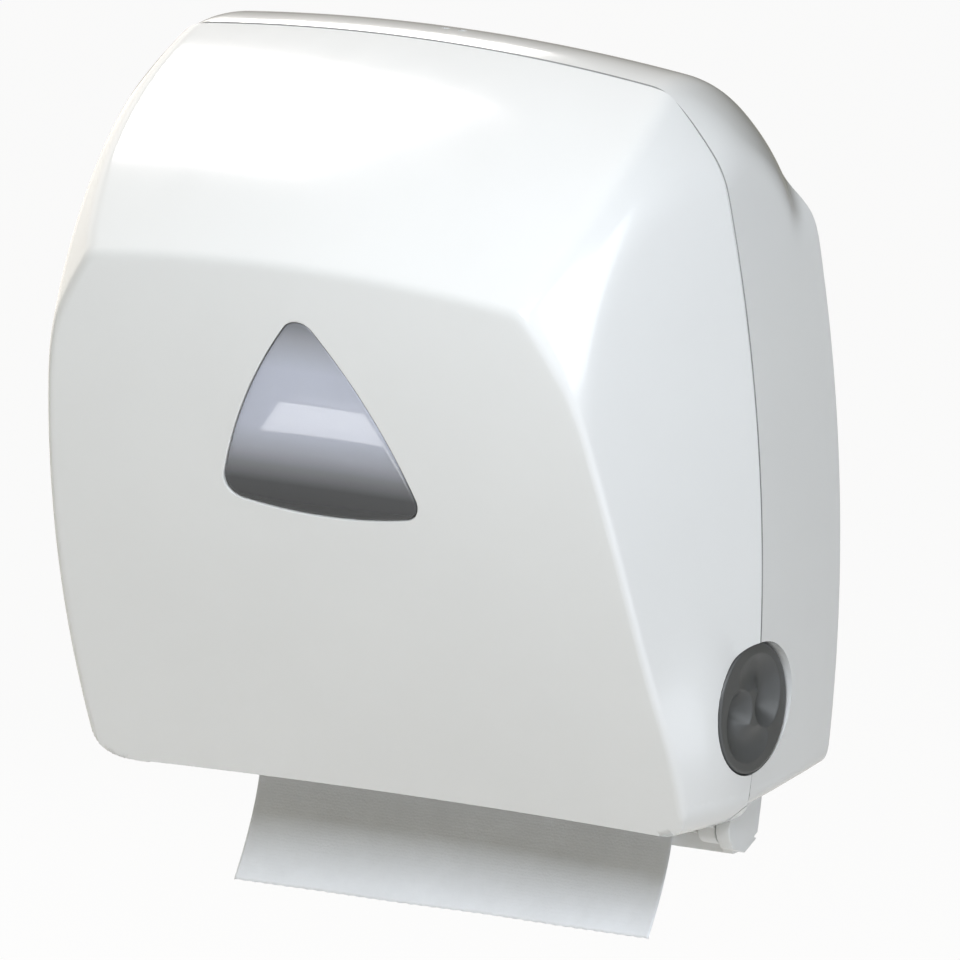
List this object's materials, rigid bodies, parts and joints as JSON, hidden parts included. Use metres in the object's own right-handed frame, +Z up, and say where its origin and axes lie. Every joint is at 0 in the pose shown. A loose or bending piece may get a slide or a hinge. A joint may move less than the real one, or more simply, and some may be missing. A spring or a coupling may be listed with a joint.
{
  "type": "autocut towel dispenser",
  "caption": "Wall-hung roll towel dispenser with faceted cover, sight window, hand knob and a cutting drum that lets a swinging knife out as the towel is pulled.",
  "frame": {"origin": "centre of the rectangle of wall holes, on the back face at the wall", "axes": "+X to the right seen from the front, -Y out of the wall towards the user, +Z up"},
  "size_m": [0.321, 0.173, 0.3791],
  "materials": {
    "white_gloss": "glossy white moulded plastic, faint mould texture inside",
    "smoked_lens": "smoked grey transparent plastic",
    "paper": "embossed white tissue paper",
    "card": "brown cardboard",
    "dark_plastic": "satin dark grey plastic",
    "natural_plastic": "natural satin plastic",
    "steel": "bright drawn steel",
    "grip_rubber": "dull black rubber"
  },
  "bodies": {
    "housing": {"rear_housing": "white_gloss", "lower_guide": "white_gloss", "web_guide": "natural_plastic", "towel": "paper", "chassis_left": "natural_plastic", "chassis_right": "natural_plastic", "chassis_screws": "steel", "drum_bush_left": "dark_plastic", "drum_bush_right": "dark_plastic", "cam_ring": "natural_plastic", "spring_post": "steel", "assist_spring": "steel", "arm_pins": "steel", "hinge_pins": "steel", "latch_spring": "steel"},
    "cover": {"front_cover": "white_gloss", "window_lens": "smoked_lens"},
    "drum": {"drum_shell": "natural_plastic", "drum_cap_left": "natural_plastic", "drum_cap_right": "natural_plastic", "drum_shaft": "steel", "grip_bands": "grip_rubber", "knob": "dark_plastic", "drum_crank": "dark_plastic"},
    "knife": {"knife_carrier": "dark_plastic", "knife_blade": "steel", "knife_pins": "steel", "knife_follower": "dark_plastic"},
    "pressure_yoke": {"pressure_arm": "natural_plastic", "pressure_pins": "steel"},
    "pressure_roller": {"pressure_axle": "steel", "pressure_sleeves": "grip_rubber"},
    "roll": {"paper_roll": "paper", "roll_core": "card"},
    "left_arm": {"roll_arm_left": "white_gloss"},
    "right_arm": {"roll_arm_right": "white_gloss"},
    "latch": {"latch_tongue": "natural_plastic"}
  },
  "joints": [
    {"name": "cover_hinge", "type": "hinge", "parent": "housing", "child": "cover", "pos_m": [0, -0.06, -0.167], "axis": [1, 0, 0], "range_deg": [0, 90]},
    {"name": "roll_spin", "type": "hinge", "parent": "housing", "child": "roll", "pos_m": [0, -0.078, 0.042], "axis": [1, 0, 0], "continuous": true, "deforming": ["assist_spring"]},
    {"name": "drum_spin", "type": "hinge", "parent": "housing", "child": "drum", "pos_m": [0, -0.066, -0.112], "axis": [1, 0, 0], "continuous": true, "deforming": ["assist_spring"]},
    {"name": "knife_swing", "type": "hinge", "parent": "drum", "child": "knife", "pos_m": [0, -0.053, -0.12], "axis": [1, 0, 0], "range_deg": [0, 45], "stiffness_Nm_per_rad": 0.4, "springref_deg": -17.19},
    {"name": "pressure_lift", "type": "hinge", "parent": "housing", "child": "pressure_yoke", "pos_m": [0, -0.062, -0.052], "axis": [-1, 0, 0], "range_deg": [0, 8], "stiffness_Nm_per_rad": 0.9, "springref_deg": -11.46},
    {"name": "pressure_roller_spin", "type": "hinge", "parent": "pressure_yoke", "child": "pressure_roller", "pos_m": [0, -0.0863, -0.07684], "axis": [1, 0, 0], "continuous": true},
    {"name": "left_arm_flex", "type": "hinge", "parent": "housing", "child": "left_arm", "pos_m": [-0.1045, -0.0079, 0.042], "axis": [0, 0, -1], "range_deg": [0, 12], "stiffness_Nm_per_rad": 2, "springref_deg": -5.73},
    {"name": "right_arm_flex", "type": "hinge", "parent": "housing", "child": "right_arm", "pos_m": [0.1045, -0.0079, 0.042], "axis": [0, 0, 1], "range_deg": [0, 12], "stiffness_Nm_per_rad": 2, "springref_deg": -5.73},
    {"name": "latch_press", "type": "slide", "parent": "housing", "child": "latch", "axis": [0, 0, -1], "range_m": [0, 0.0045], "stiffness_N_per_m": 500, "springref_m": -0.002, "deforming": ["latch_spring"]}
  ],
  "couplings": [
    {"joint": "drum_spin", "follows": "roll_spin", "ratio": -2.1161},
    {"joint": "pressure_roller_spin", "follows": "roll_spin", "ratio": 6.8333}
  ]
}
